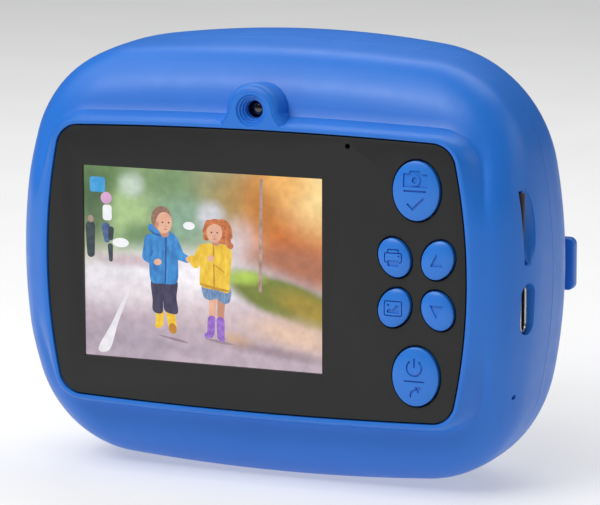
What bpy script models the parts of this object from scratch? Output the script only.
"""Children's instant-print camera: screen and keys on the back, lens on the front,
a side-hinged front door over the paper roll, and a thermal printer inside.

The datum is the centre of the picture area, on the plane of the screen's rim.
From there X runs to the user's right, Y goes deeper into the camera towards the
lens, and Z is up. One empty carries the datum, so that the finished camera rests
on Z = 0 with the middle of its base at the origin.
"""
import math

import bmesh
import bpy
from mathutils import Matrix, Vector

MM = 0.001

# Overall size, in millimetres like every other constant below.
FRONT_DEPTH = 50.0          # the lens ring's front face
KEY_CROWN = 1.0             # how far the keys stand proud of the rim
BODY_DROP = -0.12           # the body's middle height, from the picture's middle
FOOT_LEVEL = -41.85         # the flat that the camera rests on
DOOR_LIFT = 0.3             # how far the door stays above that flat
DATUM = (0.0, -(FRONT_DEPTH - KEY_CROWN) / 2, -FOOT_LEVEL)

# Body sections, back to front: depth at the sides, depth at the top and bottom,
# half width, half height, then the radii of the side, top and corner arcs.
REAR_SECTIONS = [
    (1.7, 4.8, 46.0, 29.1, 112, 900, 8.5),
    (3.2, 6.4, 47.9, 34.4, 110, 460, 12.5),
    (6.0, 8.6, 50.0, 37.6, 109, 440, 16.5),
    (10.0, 11.2, 51.6, 39.9, 109, 410, 20.0),
    (14.0, 14.0, 52.3, 41.0, 109, 370, 21.3),
    (19.6, 19.6, 52.6, 42.0, 109, 300, 22.8),
]
HOUSING_SECTIONS = [
    (19.9, 19.9, 52.6, 42.05, 109, 298, 22.9),
    (25.0, 25.0, 52.6, 42.7, 109, 240, 24.0),
    (28.5, 28.5, 52.1, 42.9, 109, 215, 26.0),
    (31.0, 31.0, 51.0, 42.6, 109, 190, 27.0),
    (33.0, 33.0, 49.8, 42.1, 109, 170, 28.0),
]
DOOR_SECTIONS = [
    (33.3, 33.3, 49.65, 42.0, 109, 168, 28.0),
    (37.0, 37.0, 47.2, 40.5, 100, 150, 29.0),
    (41.0, 41.0, 43.4, 37.8, 90, 130, 29.0),
    (44.5, 44.5, 38.2, 33.8, 80, 110, 27.0),
    (47.0, 47.0, 31.5, 28.3, 70, 90, 23.0),
    (48.5, 48.5, 22.5, 20.5, 50, 60, 17.0),
    (49.1, 49.1, 14.0, 13.0, 30, 35, 11.0),
]
DOOR_WALL_SHARES = (0.0, 0.1, 0.25, 0.45, 0.7, 1.0, 1.0)   # how far the wall faces forward
OUTLINE_STEPS = (3, 6, 3)   # points on the side, corner and top arcs of a quarter
WALL = 2.0
GAP = 0.3                   # clearance between neighbouring pieces

# The window and the raised rim around it.
WINDOW = (42.27, 26.55, 109.0, 900.0, 4.5)
WINDOW_FACE = 0.2
WINDOW_BACK = 1.4
RIM_WIDTH = 0.85
FLOOR_FACE = 1.7            # the rear cover's floor under the window
FLOOR_BACK = 3.2

# The display: a 2.4 inch module with a 49 x 36.7 mm picture.
PICTURE_X = -10.32
PICTURE = (48.96, 36.72)
LCD = (60.4, 43.4)
LCD_DEPTHS = (1.7, 4.3)

# Keys: name, place, half width, half height and lean in degrees.
KEY_COLUMN = 32.8
SMALL_KEY_X = 4.21
SMALL_KEY_Z = 4.67
KEYS = [
    ("key_shutter", KEY_COLUMN, 17.25, 4.48, 5.48, 0.0),
    ("key_power", KEY_COLUMN, -17.25, 4.48, 5.48, 0.0),
    ("key_print", KEY_COLUMN - SMALL_KEY_X, SMALL_KEY_Z, 2.96, 3.70, 25.0),
    ("key_up", KEY_COLUMN + SMALL_KEY_X, SMALL_KEY_Z, 2.96, 3.70, -25.0),
    ("key_gallery", KEY_COLUMN - SMALL_KEY_X, -SMALL_KEY_Z, 2.96, 3.70, -25.0),
    ("key_down", KEY_COLUMN + SMALL_KEY_X, -SMALL_KEY_Z, 2.96, 3.70, 25.0),
]
KEY_CLEARANCE = 0.35
KEY_EDGE = -0.35            # where the dome meets the key's side
KEY_FLANGE = (3.5, 4.1, 0.6)
KEY_DOME = ((0.35, -0.65), (1.4, -0.9), (2.3, -KEY_CROWN))    # how far in, and its depth
MEMBRANE = (4.8, 5.4)

# Small openings in the back.
MIC = (19.2, 24.7, 0.5)
SELFIE = (0.0, 30.35)
SELFIE_CONE = (3.0, 1.6, 2.6)    # mouth radius, inner radius, depth
BOSS_SECTIONS = [                # the lens boss above the window: depth, half width, top
    (0.0, 4.3, 34.3),
    (1.4, 5.3, 35.3),
    (6.5, 5.6, 35.0),
]

# Side openings: a card slot with a thumb scoop, the USB socket and a reset hole.
CARD_SLOT = (8.9, 10.1, 13.6, 1.6)     # depth and height of its middle, length, width
SCOOP = (50.95, 9.2, 10.1)             # its middle, on the casing's surface
SCOOP_SIZE = (2.0, 2.9, 7.2)           # how deep, half width and half length
SCOOP_TURN = (-5.3, -15.0)             # degrees about Y and Z, to follow the surface
CARD = (15.0, 11.0, 0.7)
CARD_PLACE = (50.4, 9.1, 11.0)         # the middle of its outer edge
USB = (9.3, -5.0)
USB_OUTER = 50.4
USB_SHELL = (8.94, 3.26, 7.3)
RESET = (8.8, -21.6)

# Boards and cells.
MAIN_BOARD = (7.3, 8.3, 40.4, 27.5)
BATTERY = (48.0, 5.6, 32.0)

# Printer.
BAY_HALF = 31.0             # inside half width between the chassis walls
CHASSIS_BACK = (16.8, 18.0)
ROLL = (31.3, -20.0, 12.5, 28.5)          # depth, height, radius, half width
CORE_RADIUS = 6.2
PLATEN = (35.6, 22.5, 4.0, 29.0)
MOTOR = (27.5, 8.0)
GEAR_MODULE = 0.5
PINION_TEETH = 12
IDLER_TEETH = 26
PLATEN_TEETH = 18
GEAR_X = 33.2
GEAR_FACE = 2.6
EXIT_SLOT = (33.2, 35.6, 30.2)            # from depth, to depth, half width

# Front lens.
LENS_Z = 8.0
LENS_RING = (11.4, 8.6)

# Door hinge and pull tab.
HINGE = (-48.6, 33.15)
HINGE_PIN = 0.8
HINGE_BORE = 1.1
KNUCKLE = 1.9
KNUCKLE_ENDS = (4.8, 14.5)
TAB = (35.2, 37.6, -1.0, 10.1, 51.6)      # depths, middle height, height, outer end
TAB_LENGTH = 7.2
TAB_CORNER = 1.3

# Sound holes in the underside.
SOUND_HOLES = 5
SOUND_X = 26.0
SOUND_PITCH = 3.5

# Case screws at the four corners.
SCREW_X = 43.4
SCREW_HEIGHTS = (26.0, -26.0)
SCREW_SHANK = 0.9
SCREW_HOLE = 1.2

SMOOTH_ANGLE = math.radians(38)


# ---------------------------------------------------------------- scene helpers
def clear_scene():
    for old in list(bpy.data.objects):
        bpy.data.objects.remove(old, do_unlink=True)


def make_collection(name):
    collection = bpy.data.collections.new(name)
    bpy.context.scene.collection.children.link(collection)
    return collection


def make_datum(collection):
    empty = bpy.data.objects.new("camera_datum", None)
    empty.location = Vector(DATUM) * MM
    collection.objects.link(empty)
    return empty


def make_material(name, colour, roughness, metallic=0.0):
    material = bpy.data.materials.new(name)
    material.use_nodes = True
    shader = material.node_tree.nodes["Principled BSDF"]
    shader.inputs["Base Color"].default_value = (*colour, 1.0)
    shader.inputs["Roughness"].default_value = roughness
    shader.inputs["Metallic"].default_value = metallic
    return material


clear_scene()
PARTS = make_collection("kids_instant_camera")
CUTTERS = make_collection("cutters")
ORIGIN = make_datum(PARTS)

BLUE = make_material("blue_plastic", (0.07, 0.20, 0.68), 0.4)
BLACK = make_material("black_plastic", (0.035, 0.035, 0.035), 0.45)
WINDOW_BLACK = make_material("window_black", (0.038, 0.038, 0.038), 0.3)
SCREEN = make_material("display_glass", (0.25, 0.30, 0.25), 0.2)
GLASS = make_material("lens_glass", (0.02, 0.02, 0.03), 0.05)
STEEL = make_material("steel", (0.62, 0.62, 0.60), 0.3, 1.0)
BOARD = make_material("circuit_board", (0.02, 0.16, 0.08), 0.5)
RUBBER = make_material("silicone_rubber", (0.12, 0.12, 0.12), 0.8)
PAPER = make_material("thermal_paper", (0.88, 0.88, 0.86), 0.8)
CREAM = make_material("gear_plastic", (0.80, 0.78, 0.70), 0.5)
FOIL = make_material("battery_foil", (0.60, 0.62, 0.66), 0.35, 0.6)


def add_object(name, mesh, at, material, parent=None):
    """Link a mesh, in datum millimetres about the point AT, as one piece."""
    mesh.transform(Matrix.Scale(MM, 4))
    piece = bpy.data.objects.new(name, mesh)
    piece.location = Vector(at) * MM
    piece.parent = parent or ORIGIN
    PARTS.objects.link(piece)
    if material:
        mesh.materials.append(material)
    mesh.shade_smooth()
    mesh.set_sharp_from_angle(angle=SMOOTH_ANGLE)
    return piece


def as_cutter(piece):
    """Move a helper solid out of the parts and out of the render."""
    PARTS.objects.unlink(piece)
    CUTTERS.objects.link(piece)
    piece.hide_render = True
    piece.display_type = "WIRE"
    return piece


def boolean(piece, other, operation):
    as_cutter(other)
    step = piece.modifiers.new(operation.lower() + "_" + other.name, "BOOLEAN")
    step.operation = operation
    step.object = other
    return piece


def cut(piece, other):
    return boolean(piece, other, "DIFFERENCE")


def join(piece, other):
    return boolean(piece, other, "UNION")


# ---------------------------------------------------------------- solid helpers
def mesh_from(build, name):
    mesh = bpy.data.meshes.new(name)
    work = bmesh.new()
    build(work)
    bmesh.ops.recalc_face_normals(work, faces=work.faces)
    if work.calc_volume(signed=True) < 0:
        bmesh.ops.reverse_faces(work, faces=work.faces)
    work.to_mesh(mesh)
    work.free()
    return mesh


def box(name, centre, size, material=None, bevel=0.0, turn_z=0.0, at=None):
    """A block of SIZE about CENTRE, with its origin at AT."""
    at = at or centre
    offset = Vector(centre) - Vector(at)

    def build(work):
        made = bmesh.ops.create_cube(work, size=1.0)
        bmesh.ops.scale(work, vec=size, verts=made["verts"])
        if bevel:
            bmesh.ops.bevel(work, geom=work.edges[:], offset=bevel, segments=2,
                            profile=0.5, affect="EDGES")
        bmesh.ops.rotate(work, cent=(0, 0, 0), matrix=Matrix.Rotation(turn_z, 3, "Z"),
                         verts=work.verts)
        bmesh.ops.translate(work, vec=offset, verts=work.verts)

    return add_object(name, mesh_from(build, name), at, material)


TURN_TO = {
    "X": Matrix.Rotation(math.pi / 2, 3, "Y"),
    "Y": Matrix.Rotation(-math.pi / 2, 3, "X"),
    "Z": Matrix.Identity(3),
}


def rod(name, centre, radius, length, axis, material=None, segments=32, radius_end=None,
        at=None):
    """A cylinder, or a cone when RADIUS_END is given, lying along AXIS."""
    at = at or centre
    end = radius if radius_end is None else radius_end
    offset = Vector(centre) - Vector(at)

    def build(work):
        made = bmesh.ops.create_cone(work, cap_ends=True, segments=segments, radius1=radius,
                                     radius2=end, depth=length)
        bmesh.ops.rotate(work, cent=(0, 0, 0), matrix=TURN_TO[axis], verts=made["verts"])
        bmesh.ops.translate(work, vec=offset, verts=made["verts"])

    return add_object(name, mesh_from(build, name), at, material)


def turned(name, centre, profile, axis, material, steps=32):
    """A solid of revolution: (radius, distance along the axis) points, top to bottom."""
    mesh = bpy.data.meshes.new(name)
    ring_shaped = profile[0] == profile[-1]
    points = [(radius, 0.0, along) for radius, along in profile[:len(profile) - ring_shaped]]
    edges = [(i, i + 1) for i in range(len(points) - 1)]
    if ring_shaped:
        edges.append((len(points) - 1, 0))
    mesh.from_pydata(points, edges, [])
    piece = add_object(name, mesh, centre, material)
    piece.rotation_euler = TURN_TO[axis].to_euler()
    screw = piece.modifiers.new("turn", "SCREW")
    screw.steps = steps
    screw.render_steps = steps
    screw.use_merge_vertices = True
    screw.merge_threshold = 0.00001
    screw.use_smooth_shade = False
    return piece


def quarter_outline(half_width, half_height, side_radius, top_radius, corner_radius):
    """Side arc, corner arc and top arc, all tangent, from +X round to +Z."""
    side = Vector((half_width - side_radius, 0.0))
    top = Vector((0.0, half_height - top_radius))
    reach_side = side_radius - corner_radius
    reach_top = top_radius - corner_radius
    between = top - side
    span = between.length
    along = (reach_side ** 2 - reach_top ** 2 + span ** 2) / (2 * span)
    across = math.sqrt(max(reach_side ** 2 - along ** 2, 0.0))
    unit = between / span
    normal = Vector((-unit.y, unit.x))
    corner = side + unit * along + normal * across
    start = math.atan2(corner.y - side.y, corner.x - side.x)
    end = math.atan2(corner.y - top.y, corner.x - top.x)
    side_steps, corner_steps, top_steps = OUTLINE_STEPS
    arcs = [(side, side_radius, 0.0, start, side_steps),
            (corner, corner_radius, start, end, corner_steps),
            (top, top_radius, end, math.pi / 2, top_steps)]
    points = []
    for centre, radius, first, last, steps in arcs:
        for i in range(steps):
            angle = first + (last - first) * i / steps
            points.append((centre.x + radius * math.cos(angle),
                           centre.y + radius * math.sin(angle)))
    points.append((0.0, half_height))
    return points


def outline(half_width, half_height, side_radius, top_radius, corner_radius):
    """The whole rounded, bulging rectangle, anticlockwise from +X."""
    first = quarter_outline(half_width, half_height, side_radius, top_radius, corner_radius)
    upper = first + [(-x, z) for x, z in reversed(first[:-1])]
    lower = [(x, -z) for x, z in reversed(upper[1:-1])]
    return upper + lower


def ease(value):
    value = min(max(value, 0.0), 1.0)
    return value * value * (3 - 2 * value)


def ring(section, inset=0.0, deepen=0.0, drop=BODY_DROP):
    """One loop of a loft; its top and bottom may lie deeper than its sides."""
    side_depth, top_depth, half_width, half_height, side, top, corner = section
    points = outline(half_width - inset, half_height - inset, side - inset, top - inset,
                     max(corner - inset, 0.5))
    loop = []
    for x, z in points:
        share = ease((abs(z) / half_height - 0.35) / 0.5)
        depth = side_depth + (top_depth - side_depth) * share + deepen
        loop.append((x, depth, z + drop))
    return loop


def loft(name, loops, material=None, closed=False, at=(0, 0, 0)):
    """Skin a list of loops; CLOSED joins the last loop to the first instead of capping."""
    count = len(loops[0])

    def build(work):
        rows = [[work.verts.new(Vector(p) - Vector(at)) for p in loop] for loop in loops]
        pairs = list(zip(rows, rows[1:]))
        if closed:
            pairs.append((rows[-1], rows[0]))
        else:
            work.faces.new(rows[0])
            work.faces.new(reversed(rows[-1]))
        for row, after in pairs:
            for i in range(count):
                j = (i + 1) % count
                work.faces.new((row[i], row[j], after[j], after[i]))

    return add_object(name, mesh_from(build, name), at, material)


def flat_section(half_width, half_height, side, top, corner, depth):
    return (depth, depth, half_width, half_height, side, top, corner)


def prism(name, points, depth_from, depth_to, material=None, at=(0, 0, 0)):
    """A flat outline in X and Z, made solid between two depths."""
    loops = [[(x, depth, z) for x, z in points] for depth in (depth_from, depth_to)]
    return loft(name, loops, material, at=at)


def ellipse(centre, half_width, half_height, lean=0.0, grow=0.0, segments=16):
    """Points of a leaning ellipse in X and Z."""
    turn = math.radians(lean)
    points = []
    for i in range(segments):
        angle = 2 * math.pi * i / segments
        u = (half_width + grow) * math.cos(angle)
        v = (half_height + grow) * math.sin(angle)
        points.append((centre[0] + u * math.cos(turn) - v * math.sin(turn),
                       centre[1] + u * math.sin(turn) + v * math.cos(turn)))
    return points


def capsule(centre, length, width, segments=6):
    """Points in Y and Z of a slot with round ends, standing along Z."""
    radius = width / 2
    reach = length / 2 - radius
    points = []
    for start, height in ((0.0, reach), (math.pi, -reach)):
        for i in range(segments + 1):
            angle = start + math.pi * i / segments
            points.append((centre[0] + radius * math.cos(angle),
                           centre[1] + height + radius * math.sin(angle)))
    return points


def side_prism(name, points, x_from, x_to, material=None, at=(0, 0, 0)):
    """A flat outline in Y and Z, made solid between two X positions."""
    loops = [[(x, y, z) for y, z in points] for x in (x_from, x_to)]
    return loft(name, loops, material, at=at)


# ---------------------------------------------------------------- casing
def window_section(grow, depth):
    half_width, half_height, side, top, corner = WINDOW
    return flat_section(half_width + grow, half_height + grow, side + grow, top + grow,
                        corner + grow, depth)


def foot_cutter(name, lift=0.0):
    depth = FRONT_DEPTH + 10
    return box(name, (0, depth / 2 - 5, FOOT_LEVEL + lift - 5), (120, depth, 10))


def selfie_boss(name, grow=0.0):
    """The bell-shaped rise around the small lens above the window."""
    loops = []
    for depth, half_width, top in BOSS_SECTIONS:
        arc_centre = top - half_width
        points = [(half_width + 1.6, 27.0), (half_width + 0.5, 28.6)]
        for i in range(13):
            angle = math.pi * i / 12
            points.append((half_width * math.cos(angle), arc_centre + half_width * math.sin(angle)))
        points += [(-half_width - 0.5, 28.6), (-half_width - 1.6, 27.0)]
        loops.append([(x, depth, z) for x, z in points])
    return loft(name, loops)


def rear_cover():
    """The back shell: rim, sloping flank, rounded body and the floor behind the window."""
    wall_at_floor = 1.9
    loops = [
        ring(window_section(GAP, FLOOR_FACE), drop=0.0),
        ring(window_section(GAP, 0.0), drop=0.0),
        ring(window_section(GAP + RIM_WIDTH, 0.0), drop=0.0),
    ]
    loops += [ring(section) for section in REAR_SECTIONS]
    loops += [ring(section, WALL) for section in reversed(REAR_SECTIONS[3:])]
    loops.append(ring(REAR_SECTIONS[2], WALL + 0.3, 0.8))
    loops.append(ring(REAR_SECTIONS[1], WALL + 0.6, 1.6))
    loops.append(ring(window_section(-wall_at_floor, FLOOR_BACK), drop=0.0))
    shell = loft("rear_cover", loops, BLUE)

    join(shell, selfie_boss("boss_around_selfie_lens"))
    for name, x, z in corner_places():
        join(shell, rod("screw_post" + name, (x, 12.9, z), 2.5, 13.0, "Y", segments=16))
        cut(shell, rod("screw_pilot" + name, (x, 15.2, z), SCREW_HOLE, 10.0, "Y", segments=12))

    width, height = LCD
    cut(shell, box("lcd_opening", (PICTURE_X, 3.1, 0),
                   (width + 2 * GAP, 4.2, height + 2 * GAP)))
    for name, x, z, half_width, half_height, lean in KEYS:
        hole = ellipse((x, z), half_width, half_height, lean, KEY_CLEARANCE)
        cut(shell, prism("hole_for_" + name, hole, 0.9, 4.0))
    cut(shell, rod("mic_passage", (MIC[0], 2.5, MIC[1]), 0.9, 3.0, "Y", segments=12))
    cut_selfie_seat(shell)
    cut_side_openings(shell)
    cut(shell, foot_cutter("rear_foot"))
    return shell


def cut_selfie_seat(shell):
    mouth, inner, depth = SELFIE_CONE
    over = 0.5
    slope = (mouth - inner) / depth
    cut(shell, rod("selfie_cone", (SELFIE[0], (depth - over) / 2, SELFIE[1]),
                   mouth + slope * over, depth + over, "Y", radius_end=inner))
    cut(shell, rod("selfie_barrel_seat", (SELFIE[0], 7.0, SELFIE[1]), 2.4, 8.6, "Y"))


def thumb_scoop():
    """An ellipsoid that leans with the casing's surface, cut off at the slot's near edge."""
    depth, _, _, width = CARD_SLOT
    lean_y, lean_z = SCOOP_TURN
    turn = Matrix.Rotation(math.radians(lean_z), 3, "Z") @ Matrix.Rotation(
        math.radians(lean_y), 3, "Y")

    def build(work):
        bmesh.ops.create_uvsphere(work, u_segments=24, v_segments=16, radius=1.0)
        bmesh.ops.scale(work, vec=SCOOP_SIZE, verts=work.verts)
        bmesh.ops.rotate(work, cent=(0, 0, 0), matrix=turn, verts=work.verts)
        near_edge = depth - width / 2 - SCOOP[1]
        everything = work.verts[:] + work.edges[:] + work.faces[:]
        bmesh.ops.bisect_plane(work, geom=everything, plane_co=(0, near_edge, 0),
                               plane_no=(0, 1, 0), clear_inner=True)
        bmesh.ops.holes_fill(work, edges=work.edges)

    return add_object("card_thumb_scoop", mesh_from(build, "card_thumb_scoop"), SCOOP, None)


def cut_side_openings(shell):
    depth, middle, length, width = CARD_SLOT
    cut(shell, box("card_slot", (50.0, depth, middle), (10.0, width, length)))
    cut(shell, thumb_scoop())
    usb_length, usb_height, _ = USB_SHELL
    hole = capsule(USB, usb_length + 0.7, usb_height + 0.7)
    cut(shell, side_prism("usb_opening", hole, 44.0, 58.0))
    cut(shell, rod("reset_passage", (52.0, *RESET), 0.5, 12.0, "X", segments=12))


def corner_places():
    """The four case screws: name ending, X and Z."""
    places = []
    high, low = SCREW_HEIGHTS
    for i, (side, z) in enumerate(((1, high), (-1, high), (-1, low), (1, low))):
        places.append(("_" + str(i + 1), side * SCREW_X, z))
    return places


def hinge_barrel(name, low, high, reach):
    """A round knuckle with a web that runs to the wall; REACH is the web's far depth."""
    middle = (low + high) / 2
    x, depth = HINGE
    barrel = rod(name, (x, depth, middle), KNUCKLE, high - low, "Z", segments=24)
    web = box(name + "_web", (x + 0.3, (depth + reach) / 2, middle),
              (2.4, abs(reach - depth), high - low))
    return barrel, web


def hinge_channel(name, radius):
    return rod(name, (*HINGE, 0), radius, 2 * KNUCKLE_ENDS[1] + 0.6, "Z", segments=32)


def hinge_bore(name):
    return rod(name, (*HINGE, 0), HINGE_BORE, 2 * KNUCKLE_ENDS[1] + 4, "Z", segments=24)


def front_housing():
    """The ring between the back shell and the door, with lugs for the case screws."""
    loops = [ring(section) for section in HOUSING_SECTIONS]
    loops += [ring(section, WALL) for section in reversed(HOUSING_SECTIONS)]
    shell = loft("front_housing", loops, BLUE, closed=True)
    for name, x, z in corner_places():
        lug = box("lug" + name, (x + math.copysign(0.9, x), 21.0, z), (7.0, 1.9, 5.4))
        join(shell, lug)
        cut(shell, rod("lug_hole" + name, (x, 21.0, z), SCREW_HOLE, 4.0, "Y", segments=12))
    cut(shell, hinge_channel("housing_channel", 2.7))
    inner, outer = KNUCKLE_ENDS
    for side in (-1, 1):
        low, high = sorted((side * inner, side * outer))
        barrel, web = hinge_barrel("housing_knuckle" + str(side), low, high, 28.5)
        join(shell, web)
        join(shell, barrel)
    cut(shell, hinge_bore("housing_bore"))
    cut(shell, box("tab_notch", (54.8, 31.1, TAB[2]), (4.0, 16.0, TAB[3] + 1.0),
                   turn_z=math.radians(22.4)))
    for i in range(SOUND_HOLES):
        x = SOUND_X + i * SOUND_PITCH
        cut(shell, rod("sound_hole_" + str(i + 1), (x, 26.0, -40.0), 0.6, 12.0, "Z", segments=10))
    cut(shell, foot_cutter("housing_foot"))
    return shell


def front_door():
    """The lens-side cap: hinged at its left edge, with a pull tab at its right."""
    loops = [ring(section) for section in reversed(DOOR_SECTIONS)]
    loops += [ring(section, WALL, -WALL * share)
              for section, share in zip(DOOR_SECTIONS, DOOR_WALL_SHARES)]
    door = loft("front_door", loops, BLUE, at=(*HINGE, 0))
    join(door, pull_tab())
    cut(door, hinge_channel("door_channel", 2.15))
    barrel, web = hinge_barrel("door_knuckle", -KNUCKLE_ENDS[0] + GAP, KNUCKLE_ENDS[0] - GAP, 37.0)
    join(door, web)
    join(door, barrel)
    cut(door, hinge_bore("door_bore"))
    cut(door, rod("lens_hole", (0, 47.0, LENS_Z), LENS_RING[0] + 0.5, 12.0, "Y", segments=40))
    slot_from, slot_to, half_width = EXIT_SLOT
    cut(door, box("paper_notch", (0, (slot_from + slot_to) / 2 - 0.5, 41.0),
                  (2 * half_width, slot_to - slot_from + 1.0, 14.0)))
    cut(door, foot_cutter("door_foot", DOOR_LIFT))
    return door


def pull_tab():
    """The tab at the door's free edge, with rounded outer corners."""
    depth_from, depth_to, z, height, end = TAB
    reach = height / 2 - TAB_CORNER
    points = [(end - TAB_LENGTH, z - height / 2)]
    for side, first in ((-1, -90), (1, 0)):
        for i in range(5):
            angle = math.radians(first + 22.5 * i)
            points.append((end - TAB_CORNER + TAB_CORNER * math.cos(angle),
                           z + side * reach + TAB_CORNER * math.sin(angle)))
    points.append((end - TAB_LENGTH, z + height / 2))
    return prism("tab_block", points, depth_from, depth_to)


def hinge_pin():
    length = 2 * KNUCKLE_ENDS[1]
    return rod("door_hinge_pin", (*HINGE, 0), HINGE_PIN, length, "Z", STEEL, segments=20)


def case_screws():
    """Pan-head screws that clamp chassis, housing and back shell together."""
    for name, x, z in corner_places():
        profile = [(0.0, 25.0), (1.5, 24.9), (1.9, 24.3), (1.9, 23.7),
                   (SCREW_SHANK, 23.7), (SCREW_SHANK, 10.8), (0.0, 10.3)]
        turned("case_screw" + name, (x, 0, z), profile, "Y", STEEL, steps=12)


# ---------------------------------------------------------------- back panel
def display_window():
    loops = [ring(window_section(0.0, depth), drop=0.0) for depth in (WINDOW_FACE, WINDOW_BACK)]
    window = loft("display_window", loops, WINDOW_BLACK)
    for name, x, z, half_width, half_height, lean in KEYS:
        hole = ellipse((x, z), half_width, half_height, lean, KEY_CLEARANCE)
        cut(window, prism("window_hole_for_" + name, hole, -1.0, 3.0))
    cut(window, rod("window_mic_hole", (MIC[0], 1.0, MIC[1]), MIC[2], 4.0, "Y", segments=12))
    return window


def lcd_module():
    near, far = LCD_DEPTHS
    width, height = LCD
    return box("lcd_module", (PICTURE_X, (near + far) / 2, 0), (width, far - near, height),
               SCREEN, bevel=0.3)


def lcd_pad():
    """Foam that presses the display forward from the main board."""
    return box("lcd_foam_pad", (PICTURE_X, 5.8, 0), (46.0, 2.4, 32.0), RUBBER)


def keys():
    flange_from, flange_to, flange_width = KEY_FLANGE
    for name, x, z, half_width, half_height, lean in KEYS:
        rows = [(flange_width, flange_to), (flange_width, flange_from), (0.0, flange_from),
                (0.0, KEY_EDGE)]
        rows += [(-shrink, depth) for shrink, depth in KEY_DOME]
        loops = []
        for grow, depth in rows:
            points = ellipse((x, z), half_width, half_height, lean, grow)
            loops.append([(px, depth, pz) for px, pz in points])
        loft(name, loops, BLUE, at=(x, 0, z))


def key_membrane():
    near, far = MEMBRANE
    return box("key_membrane", (KEY_COLUMN - 1.0, (near + far) / 2, 0), (15.0, far - near, 46.6),
               RUBBER, bevel=0.2)


def main_board():
    """The main circuit board, with a tact switch behind every key and, along its
    right edge, the room for the card, the USB socket and the reset switch."""
    near, far, half_width, half_height = MAIN_BOARD
    middle = (near + far) / 2
    board = prism("main_board", outline(half_width, half_height, 900, 900, 8.0), near, far, BOARD)
    join(board, box("connector_edge", (41.5, middle, 2.8), (6.8, far - near, 28.6)))
    join(board, box("reset_edge", (41.0, middle, -17.0), (5.0, far - near, 12.0)))
    join(board, box("reset_switch", (43.0, far + 0.85, RESET[1]), (2.8, 1.9, 2.8)))
    length, _, reach = USB_SHELL
    cut(board, box("usb_notch", (USB_OUTER, middle, USB[1]), (2 * reach + 0.8, 4.0, length + 0.8)))
    for name, x, z, _, _, _ in KEYS:
        join(board, box("switch_behind_" + name, (x, near - 0.5, z), (3.4, 1.4, 3.4)))
    join(board, box("processor", (4.0, far + 0.3, 22.0), (11.0, 1.0, 9.0)))
    return board


def microphone():
    return rod("microphone", (MIC[0], 6.1, MIC[1]), 2.0, 1.6, "Y", BLACK, segments=20)


def selfie_camera():
    x, z = SELFIE
    rod("selfie_lens", (x, 3.7, z), 1.55, 1.2, "Y", GLASS, segments=24)
    barrel = rod("selfie_barrel", (x, 6.2, z), 2.1, 3.0, "Y", BLACK, segments=24)
    return barrel


# ---------------------------------------------------------------- side connectors
def usb_port():
    """The USB-C shell, open at the outer end, with its contact tongue."""
    depth, middle = USB
    length, height, reach = USB_SHELL
    inner = USB_OUTER - reach
    shell = side_prism("usb_c_port", capsule(USB, length, height), inner, USB_OUTER, STEEL)
    cut(shell, side_prism("usb_cavity", capsule(USB, length - 0.6, height - 0.6), inner + 0.8,
                          USB_OUTER + 2))
    tongue = box("usb_tongue", (inner + 3.2, depth, middle), (5.4, 0.7, 6.7))
    join(shell, tongue)
    return shell


def card_socket():
    """A thin tray around the memory card."""
    length, width, thick = CARD
    outer, depth, z = CARD_PLACE
    middle = outer - length + 5.3
    shell = box("card_socket", (middle, depth + 0.1, z), (11.6, 1.4, width + 2.0), STEEL)
    cut(shell, box("card_socket_mouth", (middle + 0.3, depth, z), (11.6, thick + 0.1, width + 0.6)))
    return shell


def memory_card():
    length, width, thick = CARD
    outer, depth, z = CARD_PLACE
    return box("memory_card", (outer - length / 2, depth, z), (length, thick, width), BLACK,
               at=CARD_PLACE)


# ---------------------------------------------------------------- inside
def battery():
    width, thick, height = BATTERY
    return box("battery", (-19.0, 12.6, 0), (width, thick, height), FOIL, bevel=1.0)


def speaker():
    profile = [(0.0, 2.0), (7.0, 2.0), (9.0, 1.2), (9.0, -2.0), (0.0, -2.0)]
    return turned("speaker", (20.0, 12.4, -12.0), profile, "Y", BLACK, steps=32)


def body_filler(name, inset):
    """The inside of the casing from the paper bay to the door, as one solid."""
    sections = HOUSING_SECTIONS + DOOR_SECTIONS[1:6]
    loops = [ring(flat_section(50.0, 40.0, 109, 300, 20, 12.0), inset)]
    loops += [ring(section, inset, -0.06 * inset * i) for i, section in enumerate(sections)]
    return loft(name, loops)


def printer_chassis():
    """The tub that holds the roll, the printing gear, the lens and the screw ears."""
    back_from, back_to = CHASSIS_BACK
    outer = BAY_HALF + 1.5
    chassis = box("printer_chassis", (0, 29.4, 0), (2 * outer, 25.2, 84.0), BLACK)
    cut(chassis, box("paper_bay", (0, back_to + 20.0, 5.5), (2 * BAY_HALF, 40.0, 84.0)))
    limit = body_filler("casing_inside", WALL + 0.8)
    boolean(chassis, limit, "INTERSECT")
    for name, x, z in corner_places():
        x_side = math.copysign(1.0, x)
        ear = box("ear" + name, (x - x_side * 4.9, 22.9, z), (13.0, 1.2, 4.6))
        join(chassis, ear)
        cut(chassis, rod("ear_hole" + name, (x, 22.9, z), SCREW_HOLE, 4.0, "Y", segments=12))
    roll_depth, roll_z, _, _ = ROLL
    platen_depth, platen_z, _, _ = PLATEN
    cut(chassis, rod("spindle_holes", (0, roll_depth, roll_z), 2.4, 80.0, "X", segments=20))
    cut(chassis, rod("platen_holes", (0, platen_depth, platen_z), 1.5, 80.0, "X", segments=20))
    return chassis


def paper_roll():
    depth, z, radius, half = ROLL
    profile = [(radius, half), (radius, -half), (CORE_RADIUS, -half), (CORE_RADIUS, half),
               (radius, half)]
    return turned("paper_roll", (0, depth, z), profile, "X", PAPER, steps=36)


def roll_spindle():
    depth, z, _, half = ROLL
    drum = CORE_RADIUS - GAP
    journal = 2.0
    end = BAY_HALF + 1.3
    profile = [(0.0, end), (journal, end), (journal, half), (drum, half), (drum, -half),
               (journal, -half), (journal, -end), (0.0, -end)]
    return turned("roll_spindle", (0, depth, z), profile, "X", BLACK, steps=24)


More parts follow.
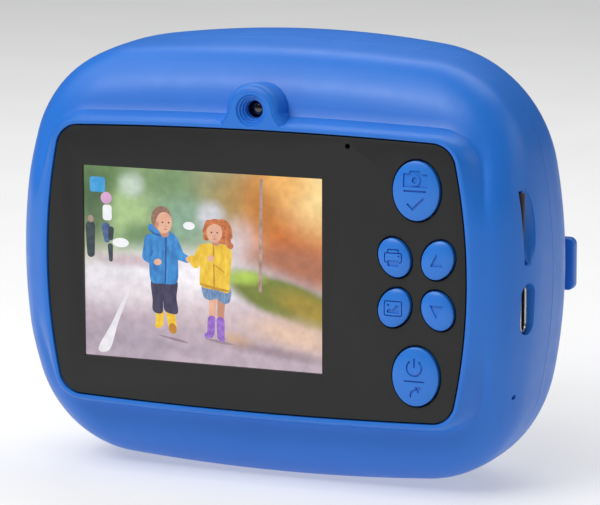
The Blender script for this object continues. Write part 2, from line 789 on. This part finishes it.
def paper_strip():
    """The free end of the paper, from the roll past the print head to the exit slot."""
    roll_depth, roll_z, radius, half = ROLL
    platen_depth, platen_z, platen_radius, _ = PLATEN
    thick = 0.2
    gap = 0.25
    pinch = platen_depth - platen_radius - gap - thick
    bend = Vector((pinch, platen_z - 6.0))
    centre = Vector((roll_depth, roll_z))
    reach = radius + gap + thick
    leave = math.acos(reach / (bend - centre).length)
    leave += math.atan2(bend.y - centre.y, bend.x - centre.x)
    route = [(centre.x + reach * math.cos(leave), centre.y + reach * math.sin(leave)),
             (bend.x, bend.y),
             (pinch, platen_z + 2.0),
             (34.3, 38.6)]
    back = [(y, z) for y, z in route]
    front = [(y + thick, z) for y, z in reversed(route)]
    return side_prism("paper_strip", back + front, -half, half, PAPER)


def platen():
    """The rubber feed roller on its steel shaft."""
    depth, z, radius, half = PLATEN
    end = GEAR_X + GEAR_FACE + 0.6
    rubber = [(radius, half), (radius, -half), (1.8, -half), (1.8, half), (radius, half)]
    turned("platen_rubber", (0, depth, z), rubber, "X", RUBBER, steps=32)
    shaft = [(0.0, end), (1.2, end), (1.2, half + 0.9), (1.5, half + 0.6), (1.5, -half - 0.6),
             (1.2, -half - 0.9), (1.2, -BAY_HALF - 1.3), (0.0, -BAY_HALF - 1.3)]
    turned("platen_shaft", (0, depth, z), shaft, "X", STEEL, steps=20)


def gear_outline(teeth):
    """Points in Y and Z; the teeth stop just short of the pitch circle."""
    tip = GEAR_MODULE * teeth / 2 - 0.12
    root = tip - 0.9
    points = []
    for i in range(teeth):
        for share, radius in ((-0.25, root), (-0.12, tip), (0.12, tip), (0.25, root)):
            angle = 2 * math.pi * (i + share) / teeth
            points.append((radius * math.cos(angle), radius * math.sin(angle)))
    return points


def gear(name, depth, z, teeth, bore, x_from=GEAR_X, face=GEAR_FACE):
    points = [(depth + y, z + w) for y, w in gear_outline(teeth)]
    made = side_prism(name, points, x_from, x_from + face, CREAM, at=(x_from, depth, z))
    cut(made, rod("bore_of_" + name, (x_from, depth, z), bore, 20.0, "X", segments=16))
    return made


def idler_place():
    """Where the idler meshes with both the motor pinion and the platen gear."""
    motor = Vector(MOTOR)
    platen_centre = Vector(PLATEN[:2])
    near = GEAR_MODULE * (PINION_TEETH + IDLER_TEETH) / 2
    far = GEAR_MODULE * (IDLER_TEETH + PLATEN_TEETH) / 2
    span = (platen_centre - motor).length
    along = (near ** 2 - far ** 2 + span ** 2) / (2 * span)
    across = math.sqrt(near ** 2 - along ** 2)
    unit = (platen_centre - motor) / span
    return motor + unit * along + Vector((-unit.y, unit.x)) * across


def gear_train():
    platen_depth, platen_z, _, _ = PLATEN
    idler = idler_place()
    gear("platen_gear", platen_depth, platen_z, PLATEN_TEETH, 1.5)
    gear("idler_gear", idler.x, idler.y, IDLER_TEETH, 1.3)
    gear("motor_pinion", MOTOR[0], MOTOR[1], PINION_TEETH, 1.05)
    axle_end = GEAR_X + GEAR_FACE + 0.4
    profile = [(0.0, axle_end + 0.5), (1.8, axle_end + 0.5), (1.8, axle_end), (1.0, axle_end),
               (1.0, 32.8), (0.0, 32.8)]
    turned("idler_axle", (0, idler.x, idler.y), profile, "X", STEEL, steps=16)


def motor():
    """The stepper motor, and its shaft with the pinion's seat."""
    depth, z = MOTOR
    case = turned("feed_motor", (0, depth, z),
                  [(6.2, 46.2), (6.2, 37.6), (1.4, 37.6), (1.4, 46.2), (6.2, 46.2)],
                  "X", STEEL, steps=28)
    rod("motor_shaft", (39.4, depth, z), 0.75, 13.0, "X", STEEL, segments=16)
    return case


def print_head():
    """The heater plate behind the paper, pivoted on a pin along its lower edge."""
    face = PLATEN[0] - PLATEN[2] - 0.75
    middle = PLATEN[1] + 0.6
    pivot = (0, face - 1.7, middle - 6.4)
    head = box("print_head", (0, face - 1.25, middle), (58.0, 2.5, 12.8), CREAM, at=pivot)
    join(head, rod("head_pivot_barrel", pivot, 1.6, 58.0, "X", segments=20))
    cut(head, rod("head_pivot_bore", pivot, 0.95, 70.0, "X", segments=16))
    rod("print_head_pin", pivot, 0.65, 2 * BAY_HALF - 0.6, "X", STEEL, segments=16)
    return head


def head_springs():
    """Two coil springs between the chassis wall and the print head."""
    turns = 5
    coil_radius = 1.6
    wire = 0.25
    start = CHASSIS_BACK[1] + 0.5
    length = 8.6
    points_per_turn = 8
    for side, x in (("left", -18.0), ("right", 18.0)):
        name = "head_spring_" + side
        curve = bpy.data.curves.new(name, "CURVE")
        curve.dimensions = "3D"
        curve.bevel_depth = wire * MM
        curve.bevel_resolution = 0
        curve.use_fill_caps = True
        spline = curve.splines.new("POLY")
        count = turns * points_per_turn + 1
        spline.points.add(count - 1)
        for i in range(count):
            angle = 2 * math.pi * i / points_per_turn
            point = Vector((coil_radius * math.cos(angle), length * i / (count - 1),
                            coil_radius * math.sin(angle))) * MM
            spline.points[i].co = (*point, 1.0)
        piece = bpy.data.objects.new(name, curve)
        piece.location = Vector((x, start, PLATEN[1] + 2.0)) * MM
        piece.parent = ORIGIN
        curve.materials.append(STEEL)
        PARTS.objects.link(piece)


def tear_bar():
    """The serrated strip on the housing's edge of the paper slot."""
    half = EXIT_SLOT[2] - 0.8
    teeth = 24
    pitch = 2 * half / teeth
    top = 38.0
    points = [(half, 35.4), (half, top)]
    for i in range(teeth):
        right = half - i * pitch
        points.append((right - pitch / 2, top + 0.6))
        points.append((right - pitch, top))
    points.append((-half, 35.4))
    return prism("tear_bar", points, 33.0, 33.3, STEEL)


# ---------------------------------------------------------------- front lens
def lens_group():
    z = LENS_Z
    box("lens_holder", (0, 34.4, z), (2 * BAY_HALF - 0.6, 1.6, 17.0), BLACK)
    box("camera_sensor_board", (0, 36.1, z), (16.0, 1.0, 14.0), BOARD)
    barrel = [(8.2, 44.0), (8.2, 41.0), (7.0, 40.2), (7.0, 36.9), (3.0, 36.9), (3.0, 40.2),
              (5.4, 44.0), (8.2, 44.0)]
    turned("lens_barrel", (0, 0, z), barrel, "Y", BLACK, steps=28)
    glass = [(0.0, 42.6), (1.5, 42.3), (2.6, 41.4), (2.9, 40.6), (2.9, 39.4), (0.0, 39.4)]
    turned("lens_element", (0, 0, z), glass, "Y", GLASS, steps=20)
    outer, inner = LENS_RING
    bezel = [(outer - 0.8, FRONT_DEPTH), (outer, FRONT_DEPTH - 0.9), (outer, 44.4),
             (inner - 1.2, 44.4), (inner - 1.2, 47.2), (inner, 47.9), (inner, FRONT_DEPTH),
             (outer - 0.8, FRONT_DEPTH)]
    turned("lens_ring", (0, 0, z), bezel, "Y", STEEL, steps=36)
    window = [(0.0, 49.2), (inner - GAP, 49.2), (inner - GAP, 48.2), (0.0, 48.2)]
    turned("lens_window", (0, 0, z), window, "Y", GLASS, steps=28)


# ---------------------------------------------------------------- assembly
rear_cover()
front_housing()
front_door()
hinge_pin()
case_screws()
display_window()
lcd_module()
lcd_pad()
keys()
key_membrane()
main_board()
microphone()
selfie_camera()
usb_port()
card_socket()
memory_card()
battery()
speaker()
printer_chassis()
paper_roll()
roll_spindle()
paper_strip()
platen()
gear_train()
motor()
print_head()
head_springs()
tear_bar()
lens_group()
